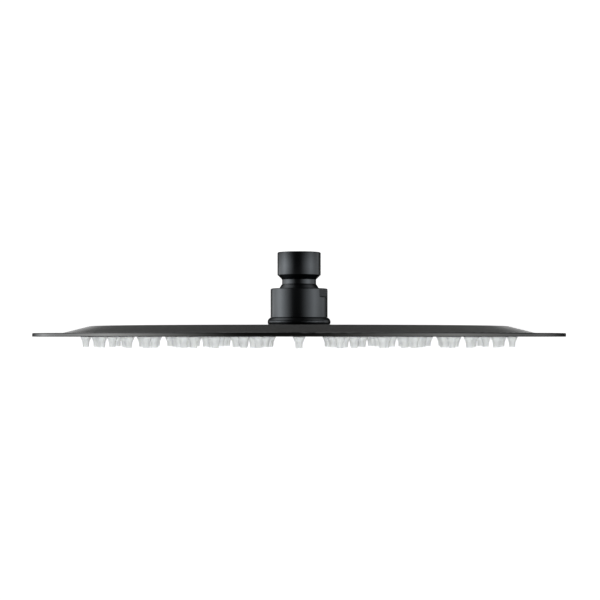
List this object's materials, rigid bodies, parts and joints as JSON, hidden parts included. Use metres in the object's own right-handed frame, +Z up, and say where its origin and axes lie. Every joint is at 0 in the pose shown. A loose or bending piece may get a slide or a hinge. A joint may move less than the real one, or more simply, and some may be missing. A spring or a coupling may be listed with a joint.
{
  "type": "rain shower head",
  "caption": "Slim round rain shower head: a thin disc with silicone nozzles on its underside, hung from a swivel ball connector with a threaded inlet.",
  "frame": {"origin": "centre of the inlet's mouth, on the axis of the connector", "axes": "+Z up along the inlet's axis into the shower arm, -Y the front that the picture shows"},
  "size_m": [0.3, 0.3, 0.054],
  "materials": {
    "black_brass": "turned brass with a satin black coating",
    "black_sheet": "pressed stainless sheet with a satin black coating",
    "clear_silicone": "moulded translucent silicone",
    "seal_rubber": "moulded black rubber",
    "white_acetal": "turned white acetal",
    "steel_wire": "woven stainless wire",
    "plain_brass": "plain turned brass"
  },
  "bodies": {
    "stem": {"inlet_collar": "black_brass", "swivel_ball": "black_brass", "inlet_washer": "seal_rubber", "filter_screen": "steel_wire"},
    "seat_rings": {"ball_bush": "white_acetal", "ball_seal": "seal_rubber"},
    "head": {"retaining_nut": "black_brass", "base_socket": "black_brass", "back_plate": "black_sheet", "face_plate": "black_sheet", "base_gasket": "seal_rubber", "base_locknut": "plain_brass", "centre_nozzle": "clear_silicone", "nozzle_ring_1": "clear_silicone", "nozzle_ring_2": "clear_silicone", "nozzle_ring_3": "clear_silicone", "nozzle_ring_4": "clear_silicone", "nozzle_ring_5": "clear_silicone", "nozzle_ring_6": "clear_silicone", "nozzle_ring_7": "clear_silicone"}
  },
  "joints": [
    {"name": "head_tilt", "type": "hinge", "parent": "stem", "child": "seat_rings", "pos_m": [0, 0, -0.02603], "axis": [1, 0, 0], "range_deg": [-14, 14]},
    {"name": "head_spin", "type": "hinge", "parent": "seat_rings", "child": "head", "pos_m": [0, 0, -0.02603], "axis": [0, 0, 1], "continuous": true}
  ]
}
